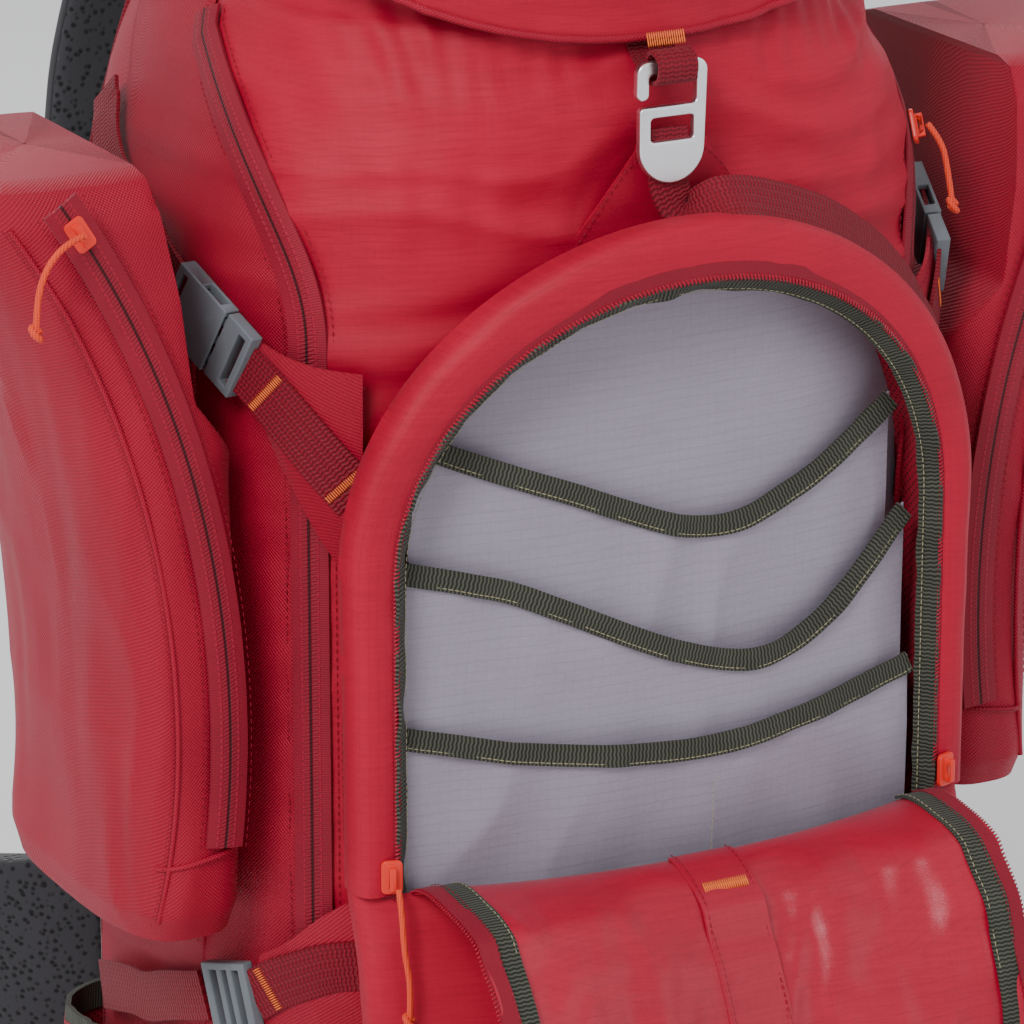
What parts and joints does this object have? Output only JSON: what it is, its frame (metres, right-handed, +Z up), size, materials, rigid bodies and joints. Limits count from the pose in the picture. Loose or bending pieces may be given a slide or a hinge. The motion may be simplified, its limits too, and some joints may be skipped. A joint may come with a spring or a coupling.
{
  "type": "ski backpack",
  "caption": "Large touring backpack with lid, fold-down front organiser pocket, side wing pockets, strap buckles, open hook closure, padded harness and hip belt.",
  "frame": {"origin": "centre of the flat base, on the floor", "axes": "+X to the wearer's right, -Y the outer front, +Y the wearer's side, +Z up"},
  "size_m": [0.5136, 0.6037, 0.706],
  "materials": {
    "ripstop": "woven",
    "oxford": "coarse woven",
    "lining": "woven, coated",
    "webbing": "woven tape",
    "tape": "knitted tape with nylon coil",
    "mesh": "perforated stretch",
    "hook_metal": "satin",
    "stay_metal": "satin",
    "buckle": "moulded",
    "sheet": "smooth",
    "slider": "enamelled",
    "cord": "braided",
    "pad": "mesh over foam"
  },
  "bodies": {
    "pack": {"back_pad": "pad", "base_panel": "oxford", "buckle_plugs": "buckle", "collar": "ripstop", "frame_sheet": "sheet", "frame_stays": "stay_metal", "front_panel": "ripstop", "front_webbing": "webbing", "front_zip": "tape", "harness_webbing": "webbing", "haul_loop": "webbing", "hook_tail": "webbing", "left_bottle_pocket": "mesh", "left_shoulder_strap": "pad", "left_side_panel": "oxford", "left_side_pocket": "oxford", "lower_sleeve": "lining", "lumbar_pad": "pad", "main_zips": "tape", "middle_sleeve": "lining", "organizer_panel": "lining", "pocket_band": "ripstop", "pocket_gusset": "mesh", "pouch_front": "ripstop", "rear_panel": "oxford", "rear_webbing": "webbing", "right_bottle_pocket": "mesh", "right_shoulder_strap": "pad", "right_side_panel": "oxford", "right_side_pocket": "oxford", "side_pocket_zips": "tape", "strap_wings": "ripstop", "top_strap": "webbing", "upper_sleeve": "lining", "yoke": "ripstop"},
    "lid": {"lid": "ripstop", "lid_zip": "tape"},
    "flap_upper": {"flap_upper": "ripstop"},
    "flap_lower": {"flap_lower": "ripstop"},
    "left_front_slider": {"left_front_slider": "slider", "left_front_pull": "cord"},
    "right_front_slider": {"right_front_slider": "slider"},
    "left_pocket_slider": {"left_pocket_slider": "slider", "left_pocket_pull": "cord"},
    "right_pocket_slider": {"right_pocket_slider": "slider"},
    "left_main_slider": {"left_main_slider": "slider"},
    "right_main_slider": {"right_main_slider": "slider", "right_main_pull": "cord"},
    "left_buckle_socket": {"left_buckle_socket": "buckle"},
    "right_buckle_socket": {"right_buckle_socket": "buckle"},
    "left_ladder_lock": {"left_ladder_lock": "buckle"},
    "right_ladder_lock": {"right_ladder_lock": "buckle"},
    "hook": {"g_hook": "hook_metal", "hook_webbing": "webbing"},
    "sternum_strap": {"sternum_strap": "webbing", "sternum_buckle": "buckle"},
    "left_belt_wing": {"left_belt_wing": "pad", "left_belt_plug": "buckle"},
    "right_belt_wing": {"right_belt_wing": "pad", "right_belt_socket": "buckle"}
  },
  "joints": [
    {"name": "lid_hinge", "type": "hinge", "parent": "pack", "child": "lid", "pos_m": [0, 0.152, 0.642], "axis": [-1, 0, 0], "range_deg": [0, 105]},
    {"name": "flap_fold", "type": "hinge", "parent": "pack", "child": "flap_upper", "pos_m": [0, -0.154, 0.275], "axis": [-1, 0, 0], "range_deg": [0, 145]},
    {"name": "flap_crease", "type": "hinge", "parent": "flap_upper", "child": "flap_lower", "pos_m": [0, -0.19489, 0.21451], "axis": [-1, 0, 0], "range_deg": [0, 27.5]},
    {"name": "left_front_zip", "type": "slide", "parent": "pack", "child": "left_front_slider", "axis": [0, 0, 1], "range_m": [0, 0.108]},
    {"name": "right_front_zip", "type": "slide", "parent": "pack", "child": "right_front_slider", "axis": [0, 0, 1], "range_m": [0, 0.108]},
    {"name": "left_pocket_zip", "type": "hinge", "parent": "pack", "child": "left_pocket_slider", "pos_m": [-0.538, 0, 0.336], "axis": [0, 1, 0], "range_deg": [0, 35]},
    {"name": "right_pocket_zip", "type": "hinge", "parent": "pack", "child": "right_pocket_slider", "pos_m": [0.538, 0, 0.336], "axis": [0, -1, 0], "range_deg": [0, 35]},
    {"name": "left_main_zip", "type": "slide", "parent": "pack", "child": "left_main_slider", "axis": [0, 0, 1], "range_m": [0, 0.045]},
    {"name": "right_main_zip", "type": "hinge", "parent": "pack", "child": "right_main_slider", "pos_m": [0.13814, 0.066, 0.427], "axis": [1, 0, 0], "range_deg": [0, 10]},
    {"name": "left_buckle", "type": "slide", "parent": "pack", "child": "left_buckle_socket", "axis": [-0.2105, 0.8569, 0.4705], "range_m": [0, 0.022]},
    {"name": "right_buckle", "type": "slide", "parent": "pack", "child": "right_buckle_socket", "axis": [0.2105, 0.8569, 0.4705], "range_m": [0, 0.022]},
    {"name": "left_lock_tilt", "type": "hinge", "parent": "pack", "child": "left_ladder_lock", "pos_m": [-0.14985, -0.07385, 0.22144], "axis": [-0.0787, 0.267, 0.9605], "range_deg": [0, 35]},
    {"name": "right_lock_tilt", "type": "hinge", "parent": "pack", "child": "right_ladder_lock", "pos_m": [0.14985, -0.07385, 0.22144], "axis": [-0.0787, -0.267, -0.9605], "range_deg": [0, 35]},
    {"name": "hook_swing", "type": "hinge", "parent": "pack", "child": "hook", "pos_m": [0, -0.125, 0.5765], "axis": [-1, 0, 0], "range_deg": [0, 10]},
    {"name": "sternum_slide", "type": "slide", "parent": "pack", "child": "sternum_strap", "axis": [0, 0, 1], "range_m": [-0.045, 0.04]},
    {"name": "left_belt_hinge", "type": "hinge", "parent": "pack", "child": "left_belt_wing", "pos_m": [-0.108, 0.159, 0.15], "axis": [0, 0, 1], "range_deg": [-20, 35]},
    {"name": "right_belt_hinge", "type": "hinge", "parent": "pack", "child": "right_belt_wing", "pos_m": [0.108, 0.159, 0.15], "axis": [0, 0, -1], "range_deg": [-20, 35]}
  ],
  "couplings": [
    {"joint": "flap_crease", "follows": "flap_fold", "ratio": 0.18621}
  ]
}
